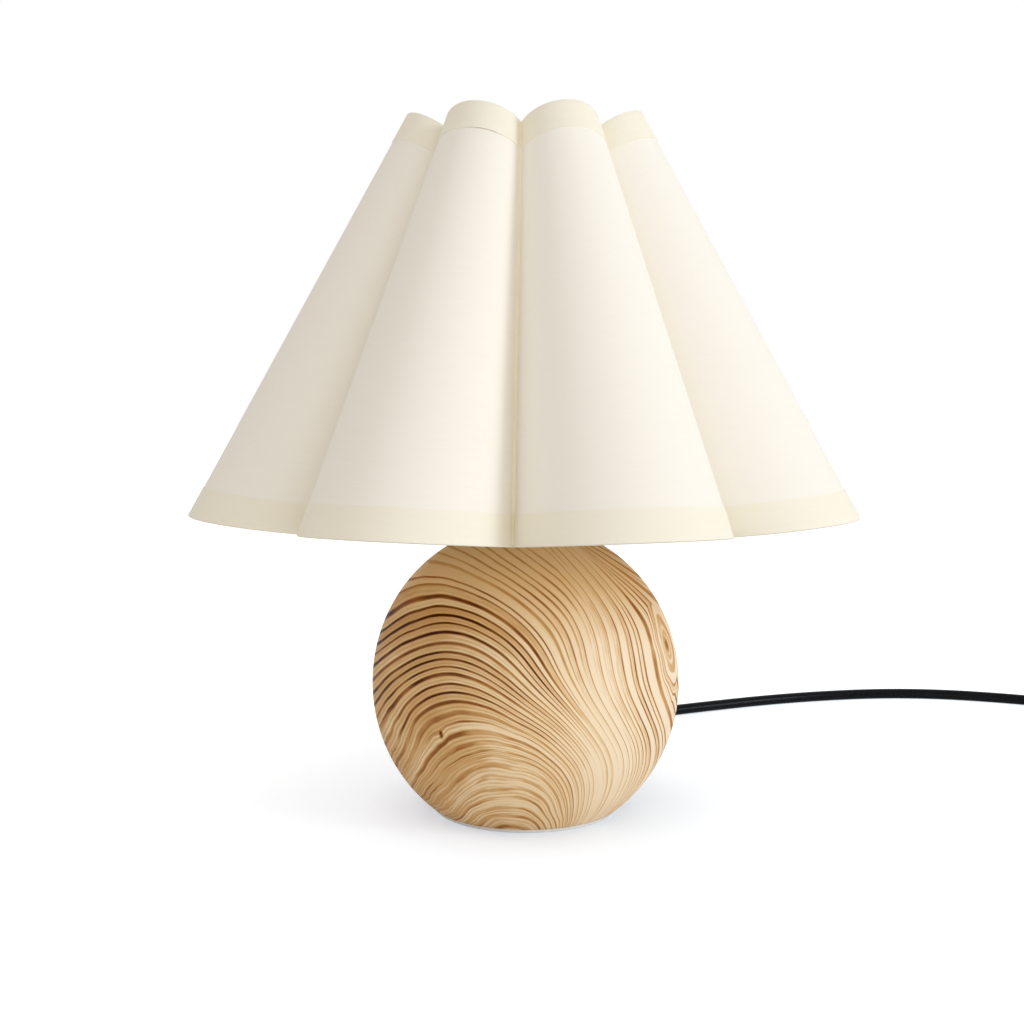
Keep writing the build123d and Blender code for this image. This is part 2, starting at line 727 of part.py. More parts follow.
# Cord from the switch to the coil
coil_low_z = cord_radius + tie_thickness + rest_gap
link_end_y = switch_end_y - 2 * link_run - link_fall
link_points = [(switch_x, switch_end_y, switch_parting_z),
               (switch_x, switch_end_y - link_run, switch_parting_z),
               (switch_x, link_end_y + link_run, coil_low_z), (switch_x, link_end_y, coil_low_z)]
cord_link = tube(link_points, cord_radius, "cord_link")
save(cord_link, "cord_link")

# Put-away coil: four layers of half turns, in, out, in and out, climbing where the spiral reverses
coil_y = link_end_y - cord_diameter
inward_turns = [coil_outer - coil_step / 2 * k for k in range(coil_inner_turns)]
reverse_turn = inward_turns[-1] - coil_step / 2
outward_turns = inward_turns[:0:-1]
half_turns = [(r, 0) for r in inward_turns]
half_turns += [(reverse_turn, 1)]
half_turns += [(r, 0) for r in outward_turns]
half_turns += [(coil_outer, 1)]
half_turns += [(r, 0) for r in inward_turns[1:]]
half_turns += [(reverse_turn, 1)]
half_turns += [(r, 0) for r in outward_turns]
coil_lefts = []
with BuildPart() as cord_coil:
    with BuildLine() as coil_path:
        here = Vector(switch_x, coil_y, coil_low_z)
        Line(here + Vector(0, cord_diameter, 0), here)
        heading = -1
        for turn_radius, climb in half_turns:
            there = here + Vector(heading * 2 * turn_radius, 0, climb * coil_step)
            bulge = Vector(0, heading * (there - here).length / 2, 0)
            ThreePointArc(here, (here + there) * 0.5 + bulge, there)
            coil_lefts.append(min(here.X, there.X))
            here = there
            heading = -heading
        Line(here, here - Vector(0, cord_diameter, 0))
    with BuildSketch(Plane(origin=coil_path.line @ 0, z_dir=coil_path.line % 0)):
        Circle(cord_radius)
    sweep(path=coil_path.line)
save(cord_coil.part, "cord_coil")
coil_end = here - Vector(0, cord_diameter, 0)
coil_length = coil_path.wires()[0].length
coil_ratio = cord_coil.part.volume / (math.pi * cord_radius**2 * coil_length)
print("cord_coil length", round(coil_length, 1), "volume ratio", round(coil_ratio, 4), "end", coil_end)

# Tie round the coil's bundle, on its left side
tie_left = min(coil_lefts) - cord_radius - tie_gap
tie_right = max(coil_lefts) + cord_radius + 2 * tie_gap
tie_low = tie_thickness
tie_high = here.Z + cord_radius + tie_gap
with BuildPart() as coil_tie:
    with BuildSketch(Plane.XZ.offset(-coil_y - tie_width / 2)):
        with Locations(((tie_left + tie_right) / 2, (tie_low + tie_high) / 2)):
            Rectangle(tie_right - tie_left + 2 * tie_thickness, tie_high - tie_low + 2 * tie_thickness)
            Rectangle(tie_right - tie_left, tie_high - tie_low, mode=Mode.SUBTRACT)
    extrude(amount=tie_width)
save(coil_tie.part, "coil_tie")

# Cord from the coil to the plug
plug_z = plug_thickness / 2
relief_y = coil_end.Y - 2 * tail_run - tail_fall
tail_points = [tuple(coil_end), (switch_x, coil_end.Y - tail_run, coil_end.Z),
               (switch_x, relief_y + tail_run, plug_z), (switch_x, relief_y, plug_z)]
cord_tail = tube(tail_points, cord_radius, "cord_tail")
save(cord_tail, "cord_tail")

# Plug: strain relief with ring grooves, flat body that widens to a shoulder, and two pins
body_y = relief_y - relief_length
groove_pitch = relief_length / (relief_grooves + 1)
relief_slope = (relief_end_radius - relief_start_radius) / relief_length
relief_outline = [(0, 0), (0, relief_start_radius)]
for index in range(relief_grooves):
    for groove_edge, depths in ((-0.5, (0, 1)), (0.5, (1, 0))):
        along = (index + 1) * groove_pitch + groove_edge * relief_groove_width
        land_radius = relief_start_radius + relief_slope * along
        relief_outline += [(along, land_radius - depth * relief_groove_depth) for depth in depths]
relief_outline += [(relief_length, relief_end_radius), (relief_length, 0)]
with BuildPart() as plug_relief:
    with BuildSketch(Plane(origin=(switch_x, relief_y, plug_z), x_dir=(0, -1, 0), z_dir=(0, 0, 1))):
        with BuildLine():
            Polyline(*relief_outline, close=True)
        make_face()
    revolve(axis=Axis((switch_x, relief_y, plug_z), (0, -1, 0)))
save(plug_relief.part, "plug_relief")
with BuildPart() as plug_body:
    with BuildSketch(Plane(origin=(switch_x, body_y, 0), x_dir=(-1, 0, 0), z_dir=(0, 0, 1))):
        with BuildLine():
            Polyline((-plug_neck / 2, 0), (plug_neck / 2, 0), (plug_width / 2, plug_shoulder),
                     (plug_width / 2, plug_length), (-plug_width / 2, plug_length),
                     (-plug_width / 2, plug_shoulder), close=True)
        make_face()
    extrude(amount=plug_thickness)
    upright_edges = plug_body.edges().filter_by(Axis.Z).sort_by(Axis.Y)
    fillet(upright_edges[:4], plug_round)
    flats = plug_body.faces().sort_by(Axis.Z)
    fillet(flats[0].edges() + flats[-1].edges(), plug_edge)
    face_plane = Plane(origin=(switch_x, body_y - plug_length, plug_z), x_dir=(1, 0, 0), z_dir=(0, 1, 0))
    with BuildSketch(face_plane):
        with Locations((pin_spacing / 2, 0), (-pin_spacing / 2, 0)):
            Circle(pin_radius + rest_gap)
    extrude(amount=pin_root, mode=Mode.SUBTRACT)
save(plug_body.part, "plug_body")
with BuildPart() as plug_pins:
    pin_plane = Plane(origin=(switch_x, body_y - plug_length - pin_length, plug_z), x_dir=(1, 0, 0),
                      z_dir=(0, 1, 0))
    with BuildSketch(pin_plane):
        with Locations((pin_spacing / 2, 0), (-pin_spacing / 2, 0)):
            Circle(pin_radius)
    extrude(amount=pin_length + pin_root)
    fillet(plug_pins.edges().group_by(Axis.Y)[0], pin_radius / 2)
save(plug_pins.part, "plug_pins")
print("plug ends at y", round(body_y - plug_length - pin_length, 1))
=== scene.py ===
import math

import bpy
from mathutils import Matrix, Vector


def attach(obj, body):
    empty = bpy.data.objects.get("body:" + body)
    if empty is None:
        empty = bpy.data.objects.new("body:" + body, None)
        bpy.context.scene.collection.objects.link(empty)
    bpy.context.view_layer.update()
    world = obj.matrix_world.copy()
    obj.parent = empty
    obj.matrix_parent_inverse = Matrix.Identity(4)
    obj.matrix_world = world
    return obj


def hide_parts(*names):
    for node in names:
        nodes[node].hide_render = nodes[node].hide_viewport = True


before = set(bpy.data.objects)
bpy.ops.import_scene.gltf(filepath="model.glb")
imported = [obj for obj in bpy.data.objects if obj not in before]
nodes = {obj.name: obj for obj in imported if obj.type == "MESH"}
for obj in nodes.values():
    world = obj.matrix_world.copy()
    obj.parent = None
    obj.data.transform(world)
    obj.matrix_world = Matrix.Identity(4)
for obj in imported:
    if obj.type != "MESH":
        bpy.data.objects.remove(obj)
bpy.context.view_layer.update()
bpy.ops.object.select_all(action="DESELECT")

# Camera: a little under the height of the shade's middle, looking slightly down.
# A normal lens at about half a metre, as for a small object on a white table.
lens_pixels = 1467.5
frame_pixels = 1024
camera_place = (-0.00515, -0.552, 0.166)
tilt_down = math.radians(5.45)
bpy.ops.object.camera_add(location=camera_place, rotation=(math.pi / 2 - tilt_down, 0, 0))
camera = bpy.context.object
camera.data.sensor_width = 36
camera.data.lens = camera.data.sensor_width * lens_pixels / frame_pixels
camera.data.clip_end = 50
bpy.context.scene.camera = camera
bpy.context.scene.view_settings.view_transform = "Standard"

# Studio floor: a broad sheet of white paper. It keeps the lamp's soft shadow, and looks white to the camera
# and in reflections without throwing more light on the lamp. Near the lamp's foot that glow is weaker and
# bluer: a painted shadow.
floor_size = 8
painted_shadow_middle = (0.012, 0, 0)
painted_shadow_reach = 0.20
backdrop_glow_and_painted_shadow = (
    (0.15, (0.20, 0.29, 0.39)), (0.275, (0.39, 0.45, 0.52)), (0.375, (0.485, 0.53, 0.59)),
    (0.575, (0.53, 0.56, 0.60)), (1.0, (0.68, 0.72, 0.76)),
)
bpy.ops.mesh.primitive_plane_add(size=floor_size)
floor = bpy.context.object
floor.name = "studio_floor"


def blank_finish(name):
    """A node material with its shader, ready to be given a surface."""
    finish = bpy.data.materials.new(name)
    finish.use_nodes = True
    tree = finish.node_tree
    return finish, tree, tree.nodes["Principled BSDF"]


def to_eye(tree):
    """1 for rays that the camera sees directly, in a mirror or through glass."""
    path = tree.nodes.new("ShaderNodeLightPath")
    seen = path.outputs["Is Camera Ray"]
    for ray in ("Is Glossy Ray", "Is Transmission Ray"):
        either = tree.nodes.new("ShaderNodeMath")
        either.operation = "MAXIMUM"
        tree.links.new(seen, either.inputs[0])
        tree.links.new(path.outputs[ray], either.inputs[1])
        seen = either.outputs[0]
    return seen


def colour_ramp(tree, value, stops):
    """The colour for a value; each stop is a position and the colour met there."""
    ramp = tree.nodes.new("ShaderNodeValToRGB")
    marks = ramp.color_ramp.elements
    for mark, (position, colour) in zip(marks, (stops[0], stops[-1])):
        mark.position = position
        mark.color = (*colour, 1)
    for position, colour in stops[1:-1]:
        marks.new(position).color = (*colour, 1)
    tree.links.new(value, ramp.inputs["Fac"])
    return ramp.outputs["Color"]


paper, tree, shader = blank_finish("floor_paper")
shader.inputs["Base Color"].default_value = (0.82, 0.82, 0.82, 1)
shader.inputs["Roughness"].default_value = 0.9
shader.inputs["Specular IOR Level"].default_value = 0.0
place = tree.nodes.new("ShaderNodeTexCoord")
from_lamp = tree.nodes.new("ShaderNodeVectorMath")
from_lamp.operation = "DISTANCE"
from_lamp.inputs[1].default_value = painted_shadow_middle
tree.links.new(place.outputs["Object"], from_lamp.inputs[0])
# The glow rises with distance from the lamp's foot, so a painted shadow lies round the foot.
away = tree.nodes.new("ShaderNodeMapRange")
away.inputs["From Max"].default_value = painted_shadow_reach
tree.links.new(from_lamp.outputs["Value"], away.inputs["Value"])
glow = tree.nodes.new("ShaderNodeEmission")
tree.links.new(colour_ramp(tree, away.outputs["Result"], backdrop_glow_and_painted_shadow), glow.inputs["Color"])
tree.links.new(to_eye(tree), glow.inputs["Strength"])
lit_paper = tree.nodes.new("ShaderNodeAddShader")
tree.links.new(shader.outputs[0], lit_paper.inputs[0])
tree.links.new(glow.outputs[0], lit_paper.inputs[1])
tree.links.new(lit_paper.outputs[0], tree.nodes["Material Output"].inputs["Surface"])
floor.data.materials.append(paper)

# Studio light: a white room, brighter round the walls than overhead, one tall soft light on the
# right, a little to the front, and a weak one low in front.
room_warmth = (1, 0.965, 0.91)
wall_level = 0.96
ceiling_level = 0.50
world = bpy.context.scene.world or bpy.data.worlds.new("studio")
bpy.context.scene.world = world
world.use_nodes = True
tree = world.node_tree
room = tree.nodes["Background"]
eye = to_eye(tree)
tree.links.new(colour_ramp(tree, eye, ((0, room_warmth), (1, (1, 1, 1)))), room.inputs["Color"])
direction = tree.nodes.new("ShaderNodeTexCoord")
height = tree.nodes.new("ShaderNodeSeparateXYZ")
tree.links.new(direction.outputs["Generated"], height.inputs["Vector"])
walls = tree.nodes.new("ShaderNodeMapRange")
walls.inputs["To Min"].default_value = wall_level
walls.inputs["To Max"].default_value = ceiling_level
tree.links.new(height.outputs["Z"], walls.inputs["Value"])
brightness = tree.nodes.new("ShaderNodeMapRange")
brightness.inputs["To Max"].default_value = 1.0
tree.links.new(eye, brightness.inputs["Value"])
tree.links.new(walls.outputs["Result"], brightness.inputs["To Min"])
tree.links.new(brightness.outputs["Result"], room.inputs["Strength"])


def softbox(name, place, aim, width, height, energy, colour):
    """A soft rectangular light at a place, turned to what it lights."""
    bpy.ops.object.light_add(type="AREA", location=place,
                             rotation=(Vector(aim) - Vector(place)).to_track_quat("-Z", "Y").to_euler())
    lamp = bpy.context.object
    lamp.name = name
    lamp.data.shape = "RECTANGLE"
    lamp.data.size = width
    lamp.data.size_y = height
    lamp.data.energy = energy
    lamp.data.color = colour


softbox("key_light", (1.40, -0.75, 0.50), (0, 0, 0.14), 0.34, 0.95, 9.4, (0.84, 0.91, 1.0))
softbox("fill_light", (0.20, -1.20, 0.06), (0, 0, 0.09), 0.8, 0.3, 2.0, (1.0, 0.96, 0.89))

# Mains cord: a round two-core lead in a glossy black sheath. It leaves the bush behind the ball,
# drops to the table and runs in one loose curve to the switch.
cord_diameter = 0.005
cord_route = [
    (0, 0.04055, 0.011), (0, 0.066, 0.011), (0.006, 0.092, 0.0025), (0.032, 0.125, 0.0025),
    (0.074, 0.1495, 0.0025), (0.140, 0.1785, 0.0025), (0.200, 0.1885, 0.0025),
    (0.256, 0.1705, 0.0025), (0.283, 0.149, 0.0025), (0.292, 0.125, 0.008), (0.292, 0.104, 0.008),
]


def lead(name, points):
    """A round lead along a smooth spline whose control points are its route."""
    line = bpy.data.curves.new(name, "CURVE")
    line.dimensions = "3D"
    line.bevel_depth = cord_diameter / 2
    line.bevel_resolution = 6
    line.resolution_u = 10
    line.use_fill_caps = True
    route = line.splines.new("NURBS")
    route.points.add(len(points) - 1)
    for knot, place in zip(route.points, points):
        knot.co = (*place, 1)
    route.order_u = 3
    route.use_endpoint_u = True
    piece = bpy.data.objects.new(name, line)
    bpy.context.scene.collection.objects.link(piece)
    return piece


def fine_grain(tree, shader, light, dark, scale, roughness, dent):
    """Two close tones mixed by a fine grain that also varies the gloss and dents the surface."""
    place = tree.nodes.new("ShaderNodeTexCoord")
    grain = tree.nodes.new("ShaderNodeTexNoise")
    grain.inputs["Scale"].default_value = scale
    grain.inputs["Detail"].default_value = 5
    tree.links.new(place.outputs["Object"], grain.inputs["Vector"])
    tone = colour_ramp(tree, grain.outputs["Fac"], ((0.3, dark), (0.7, light)))
    tree.links.new(tone, shader.inputs["Base Color"])
    gloss = tree.nodes.new("ShaderNodeMapRange")
    gloss.inputs["To Min"].default_value = roughness * 0.85
    gloss.inputs["To Max"].default_value = roughness * 1.15
    tree.links.new(grain.outputs["Fac"], gloss.inputs["Value"])
    tree.links.new(gloss.outputs["Result"], shader.inputs["Roughness"])
    bump = tree.nodes.new("ShaderNodeBump")
    bump.inputs["Strength"].default_value = dent
    bump.inputs["Distance"].default_value = 0.0003
    tree.links.new(grain.outputs["Fac"], bump.inputs["Height"])
    tree.links.new(bump.outputs["Normal"], shader.inputs["Normal"])


cord_sheath, tree, shader = blank_finish("cord_sheath")
fine_grain(tree, shader, (0.007, 0.008, 0.010), (0.003, 0.003, 0.004), 700, 0.22, 0.05)
shader.inputs["Specular IOR Level"].default_value = 0.07
mains_cord = lead("mains_cord", cord_route)
mains_cord.data.materials.append(cord_sheath)
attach(mains_cord, "base")
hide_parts("cord")

# In-line switch: two matt black shells screwed together from below, with a rocker in a well on
# top. The cord runs in at one end and out at the other.


def dress(finish, *names):
    """Give solids of the frame a finish in place of their plain one."""
    for name in names:
        nodes[name].data.materials.clear()
        nodes[name].data.materials.append(finish)


switch_shell, tree, shader = blank_finish("switch_shell")
fine_grain(tree, shader, (0.022, 0.022, 0.023), (0.014, 0.014, 0.015), 2500, 0.42, 0.35)
dress(switch_shell, "switch_lower", "switch_upper")
rocker_gloss, tree, shader = blank_finish("rocker_gloss")
fine_grain(tree, shader, (0.03, 0.03, 0.03), (0.022, 0.022, 0.022), 1500, 0.25, 0.1)
dress(rocker_gloss, "switch_rocker")
zinc, tree, shader = blank_finish("zinc_plating")
fine_grain(tree, shader, (0.62, 0.62, 0.60), (0.48, 0.48, 0.47), 900, 0.32, 0.2)
shader.inputs["Metallic"].default_value = 1.0
dress(zinc, "switch_screws")
brass, tree, shader = blank_finish("bright_brass")
fine_grain(tree, shader, (0.78, 0.58, 0.26), (0.66, 0.46, 0.18), 600, 0.26, 0.15)
shader.inputs["Metallic"].default_value = 1.0
dress(brass, "switch_terminals")

# Rest of the cord: from the switch into a neat put-away coil of four layers, held by a tie,
# and down to the plug. The spiral goes in, out, in and out, and climbs where it turns back.
switch_line = 0.292
outlet_height = 0.008
coil_outer = 0.0315
coil_step = 0.0055
coil_y = -0.005
coil_low = 0.00305
points_per_half = 9
spline_pull = 1.0153
spiral_in = [coil_outer - coil_step / 2 * k for k in range(4)]
turn_back = spiral_in[-1] - coil_step / 2
spiral_out = spiral_in[:0:-1]
half_turns = [(r, 0) for r in spiral_in] + [(turn_back, 1)] + [(r, 0) for r in spiral_out]
half_turns += [(coil_outer, 1)] + [(r, 0) for r in spiral_in[1:]]
half_turns += [(turn_back, 1)] + [(r, 0) for r in spiral_out]
coil_route = [(switch_line, 0.042, outlet_height), (switch_line, 0.030, outlet_height),
              (switch_line, 0.012, coil_low), (switch_line, 0.0, coil_low)]
x = switch_line
z = coil_low
side = -1
for radius, climb in half_turns:
    for k in range(points_per_half):
        angle = math.pi * (k + 0.5) / points_per_half
        coil_route.append((
            x + side * radius * (1 - spline_pull * math.cos(angle)),
            coil_y + side * spline_pull * radius * math.sin(angle),
            z + climb * coil_step * (1 - math.cos(angle)) / 2,
        ))
    x += side * 2 * radius
    z += climb * coil_step
    side = -side
coil_route += [(switch_line, -0.010, z), (switch_line, -0.024, z),
               (switch_line, -0.048, outlet_height), (switch_line, -0.062, outlet_height)]
coiled_cord = lead("coiled_cord", coil_route)
coiled_cord.data.materials.append(cord_sheath)
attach(coiled_cord, "base")
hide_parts("cord_link", "cord_coil", "cord_tail")

# Tie: a strap of soft black rubber round the coil's bundle, squared with rounded corners. It laps
# over itself on the outside, where its free end stands off a little.
strap_width = 0.010
strap_thickness = 0.0005
strap_rows = 7
strap_left = 0.2256
strap_right = 0.2438
strap_low = 0.0
strap_high = 0.02295
strap_inset = 0.0034
strap_corner = strap_inset - strap_thickness / 2
corner_steps = 8
lap_start = 0.0135
lap_end = 0.0175
strap_tail = ((0.6, 0.0150), (0.6, 0.0100), (0.9, 0.0075), (2.2, 0.0055))
corners = ((strap_left, strap_low), (strap_right, strap_low),
           (strap_right, strap_high), (strap_left, strap_high))
strap_route = [(strap_left + strap_thickness / 2, lap_start)]
for quarter, (corner_x, corner_z) in enumerate(corners):
    centre_x = corner_x + (strap_inset if corner_x == strap_left else -strap_inset)
    centre_z = corner_z + (strap_inset if corner_z == strap_low else -strap_inset)
    for k in range(corner_steps + 1):
        bearing = math.pi * (1 + quarter / 2 + k / corner_steps / 2)
        strap_route.append((centre_x + strap_corner * math.cos(bearing),
                            centre_z + strap_corner * math.sin(bearing)))
strap_route.append((strap_left + strap_thickness / 2, lap_end))
strap_route += [(strap_left - strap_thickness * off, height) for off, height in strap_tail]
bpy.ops.object.select_all(action="DESELECT")
bpy.ops.mesh.primitive_grid_add(x_subdivisions=len(strap_route) - 1, y_subdivisions=strap_rows - 1, size=2)
strap = bpy.context.object
strap.name = "coil_strap"
for vertex in strap.data.vertices:
    along = round((vertex.co.x + 1) / 2 * (len(strap_route) - 1))
    vertex.co = (strap_route[along][0], coil_y - vertex.co.y * strap_width / 2, strap_route[along][1])
wall = strap.modifiers.new("wall", "SOLIDIFY")
wall.thickness = strap_thickness
wall.offset = 0
soft_edge = strap.modifiers.new("soft_edge", "BEVEL")
soft_edge.width = strap_thickness * 0.3
soft_edge.segments = 2
bpy.ops.object.modifier_apply(modifier="wall")
bpy.ops.object.modifier_apply(modifier="soft_edge")
bpy.ops.object.shade_smooth_by_angle(angle=math.radians(40))
strap_rubber, tree, shader = blank_finish("strap_rubber")
fine_grain(tree, shader, (0.018, 0.018, 0.019), (0.010, 0.010, 0.011), 2200, 0.6, 0.4)
strap.data.materials.clear()
strap.data.materials.append(strap_rubber)
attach(strap, "base")
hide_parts("coil_tie")

# Plug: a flat two-pin plug with a ribbed strain relief, moulded in one with the cord; the pins are
# nickel-plated. The bush at the ball is the same rubber.
plug_rubber, tree, shader = blank_finish("plug_rubber")
fine_grain(tree, shader, (0.020, 0.020, 0.021), (0.013, 0.013, 0.014), 1800, 0.45, 0.3)
dress(plug_rubber, "plug_relief", "plug_body", "cord_bush")
nickel, tree, shader = blank_finish("nickel_plating")
fine_grain(tree, shader, (0.72, 0.70, 0.66), (0.60, 0.58, 0.54), 800, 0.22, 0.1)
shader.inputs["Metallic"].default_value = 1.0
dress(nickel, "plug_pins")

# Foot disc: a thin moulded disc of white plastic, pressed into the recess under the ball.
# Its edge shows as a pale line on the table.
foot_plastic, tree, shader = blank_finish("foot_plastic")
fine_grain(tree, shader, (0.80, 0.80, 0.78), (0.72, 0.72, 0.70), 900, 0.4, 0.15)
dress(foot_plastic, "foot_disc")

# Ball base: one piece of strongly figured softwood, turned on a lathe, sanded and finished with
# a satin lacquer. Flat below and at the seat on top, with the cord hole at the back.
ball_radius = 0.0582
ball_half_height = 0.060
ball_centre = 0.0488
ball_low = 0.0015
ball_segments = 192
ball_rings = 128
seat_radius = 0.013
seat_height = ball_centre + ball_half_height * math.sqrt(1 - (seat_radius / ball_radius) ** 2)
hole_radius = 0.007
hole_length = 0.04
hole_middle = (0, 0.0585, 0.011)
bpy.ops.mesh.primitive_uv_sphere_add(segments=ball_segments, ring_count=ball_rings, radius=1)
ball = bpy.context.object
ball.name = "wood_ball"
bpy.ops.object.mode_set(mode="EDIT")
bpy.ops.transform.resize(value=(ball_radius, ball_radius, ball_half_height))
bpy.ops.transform.translate(value=(0, 0, ball_centre))
for cut_height, keep_above in ((ball_low, True), (seat_height, False)):
    bpy.ops.mesh.select_all(action="SELECT")
    bpy.ops.mesh.bisect(plane_co=(0, 0, cut_height), plane_no=(0, 0, 1), use_fill=True,
                        clear_inner=keep_above, clear_outer=not keep_above)
bpy.ops.object.mode_set(mode="OBJECT")
bpy.ops.mesh.primitive_cylinder_add(vertices=64, radius=hole_radius, depth=hole_length, location=hole_middle,
                                    rotation=(math.pi / 2, 0, 0))
cord_hole = bpy.context.object
bore = ball.modifiers.new("cord_hole", "BOOLEAN")
bore.operation = "DIFFERENCE"
bore.object = cord_hole
bore.solver = "EXACT"
bpy.ops.object.select_all(action="DESELECT")
bpy.context.view_layer.objects.active = ball
ball.select_set(True)
bpy.ops.object.modifier_apply(modifier="cord_hole")
bpy.data.objects.remove(cord_hole)
bpy.ops.object.transform_apply(location=True, rotation=True, scale=True)
bpy.ops.object.shade_smooth_by_angle(angle=math.radians(40))

wood, tree, shader = blank_finish("figured_wood")


def maths(tree, operation, *values):
    """One step of arithmetic; each value is a number or a socket."""
    step = tree.nodes.new("ShaderNodeMath")
    step.operation = operation
    for socket, value in zip(step.inputs, values):
        if isinstance(value, (int, float)):
            socket.default_value = value
        else:
            tree.links.new(value, socket)
    return step.outputs[0]


def product(tree, first, *others):
    """All values multiplied together, one after another."""
    for other in others:
        first = maths(tree, "MULTIPLY", first, other)
    return first


def noise_at(tree, vector, scale, detail):
    """Noise read at a vector, about 0.5."""
    field = tree.nodes.new("ShaderNodeTexNoise")
    field.inputs["Scale"].default_value = scale
    field.inputs["Detail"].default_value = detail
    tree.links.new(vector, field.inputs["Vector"])
    return field.outputs["Fac"]


def spread(tree, value, low, high, to_low, to_high):
    """A value moved from one range to another and kept inside it."""
    change = tree.nodes.new("ShaderNodeMapRange")
    change.inputs["From Min"].default_value = low
    change.inputs["From Max"].default_value = high
    change.inputs["To Min"].default_value = to_low
    change.inputs["To Max"].default_value = to_high
    tree.links.new(value, change.inputs["Value"])
    return change.outputs["Result"]


def chance(tree, number):
    """A fixed random value for each whole number."""
    draw = tree.nodes.new("ShaderNodeTexWhiteNoise")
    draw.noise_dimensions = "1D"
    tree.links.new(number, draw.inputs["W"])
    return draw.outputs["Value"]


# Places on the ball are read in ball radii from its middle, in a tree tilted a little to the front.
# The wood narrows towards the front, and on the right its lines turn along the ball's edge.
tilt_cos = 0.978
tilt_sin = 0.208
front_narrowing = 0.103
girth_taper = 0.94
least_girth = 0.06
place = tree.nodes.new("ShaderNodeTexCoord")
in_ball = tree.nodes.new("ShaderNodeMapping")
in_ball.inputs["Location"].default_value = (0, 0, -ball_centre / ball_radius)
in_ball.inputs["Scale"].default_value = (1 / ball_radius, 1 / ball_radius, 1 / ball_radius)
tree.links.new(place.outputs["Object"], in_ball.inputs["Vector"])
spot = in_ball.outputs["Vector"]
parts = tree.nodes.new("ShaderNodeSeparateXYZ")
tree.links.new(spot, parts.inputs["Vector"])
spot_x = parts.outputs["X"]
spot_y = parts.outputs["Y"]
spot_z = parts.outputs["Z"]
behind = maths(tree, "MAXIMUM", spot_y, 0.0)
depth = maths(tree, "MULTIPLY_ADD", spot_z, -tilt_sin, product(tree, spot_y, tilt_cos))
narrowing = maths(tree, "MULTIPLY_ADD", depth, front_narrowing, 1.0)
raised = maths(tree, "MULTIPLY_ADD", spot_y, tilt_sin, product(tree, spot_z, tilt_cos))
girth_square = maths(tree, "MULTIPLY_ADD", product(tree, spot_z, -girth_taper), spot_z, 1.0)
girth = maths(tree, "SQRT", maths(tree, "MAXIMUM", girth_square, least_girth))
to_edge = maths(tree, "DIVIDE", spot_x, girth)
wrap = product(tree, maths(tree, "SUBTRACT", to_edge, spot_x), spread(tree, to_edge, 0.3, 0.8, 0.0, 1.0))
right = maths(tree, "MULTIPLY_ADD", behind, 0.35, maths(tree, "DIVIDE", spot_x, narrowing))
right = maths(tree, "ADD", right, wrap)
up = maths(tree, "MULTIPLY_ADD", behind, 0.2, maths(tree, "DIVIDE", raised, narrowing))

# The rings stand round a pith below the ball and lean to the right, so they show as nested arches
# with a long right flank. Two slow waves bend them, and they are closest below the ball's middle.
pith_right = 0.142
pith_below = 1.483
ring_squeeze = 2.102
ring_lean = 1.244
close_rings = 17.5
far_rings = 4.5
wave_right = maths(tree, "SINE", maths(tree, "MULTIPLY_ADD", up, 5.93, 1.866))
wave_up = maths(tree, "SINE", maths(tree, "MULTIPLY_ADD", right, 4.894, -1.277))
bent_right = maths(tree, "MULTIPLY_ADD", wave_right, 0.053, right)
bent_up = maths(tree, "MULTIPLY_ADD", wave_up, -0.043, up)
from_pith = product(tree, maths(tree, "SUBTRACT", bent_right, pith_right), ring_squeeze)
over_pith = maths(tree, "ADD", bent_up, pith_below)
ring_square = maths(tree, "MULTIPLY_ADD", from_pith, from_pith, product(tree, over_pith, over_pith))
leaned = maths(tree, "MULTIPLY_ADD", bent_right, ring_lean, maths(tree, "SQRT", ring_square))
close_set = maths(tree, "ARCTANGENT", maths(tree, "MULTIPLY_ADD", leaned, 1.1, -1.4))
even_rings = maths(tree, "MULTIPLY_ADD", close_set, close_rings, product(tree, leaned, far_rings))
low_left = product(tree, spread(tree, up, -0.1, -0.4, 0, 1), spread(tree, right, 0.35, -0.1, 0, 1))
quiver = maths(tree, "SUBTRACT", noise_at(tree, spot, 3.2, 1.5), 0.5)
years = maths(tree, "MULTIPLY_ADD", quiver, spread(tree, low_left, 0, 1, 0.4, 1.5), even_rings)


def away_from(tree, vector, centre):
    """Distance of a vector from a fixed place, less in height than across, and a little uneven."""
    flatter = 0.6
    shape = tree.nodes.new("ShaderNodeVectorMath")
    shape.operation = "MULTIPLY_ADD"
    shape.inputs[1].default_value = (1, 1, flatter)
    shape.inputs[2].default_value = (-centre[0], -centre[1], -flatter * centre[2])
    tree.links.new(vector, shape.inputs[0])
    length = tree.nodes.new("ShaderNodeVectorMath")
    length.operation = "LENGTH"
    tree.links.new(shape.outputs["Vector"], length.inputs[0])
    gap = length.outputs["Value"]
    uneven = maths(tree, "SUBTRACT", noise_at(tree, vector, 7, 0.5), 0.5)
    return maths(tree, "MULTIPLY_ADD", product(tree, uneven, 0.5), gap, gap)


# An eye at the right edge and a pin knot at the lower left push the rings aside, and the rings
# are of uneven width, as good and poor years leave them.
eye_knot = away_from(tree, spot, (0.88, -0.36, 0.30))
pin_knot = away_from(tree, spot, (-0.51, -0.84, -0.15))
years = maths(tree, "ADD", years, spread(tree, eye_knot, 0.0, 0.2, 3.0, 0))
years = maths(tree, "ADD", years, spread(tree, pin_knot, 0.0, 0.06, 0.3, 0))
season = tree.nodes.new("ShaderNodeTexNoise")
season.noise_dimensions = "1D"
season.inputs["Scale"].default_value = 0.4
season.inputs["Detail"].default_value = 1
tree.links.new(years, season.inputs["W"])
years = maths(tree, "MULTIPLY_ADD", season.outputs["Fac"], 1.3, years)
ring = maths(tree, "FLOOR", years)
share = maths(tree, "FRACT", years)

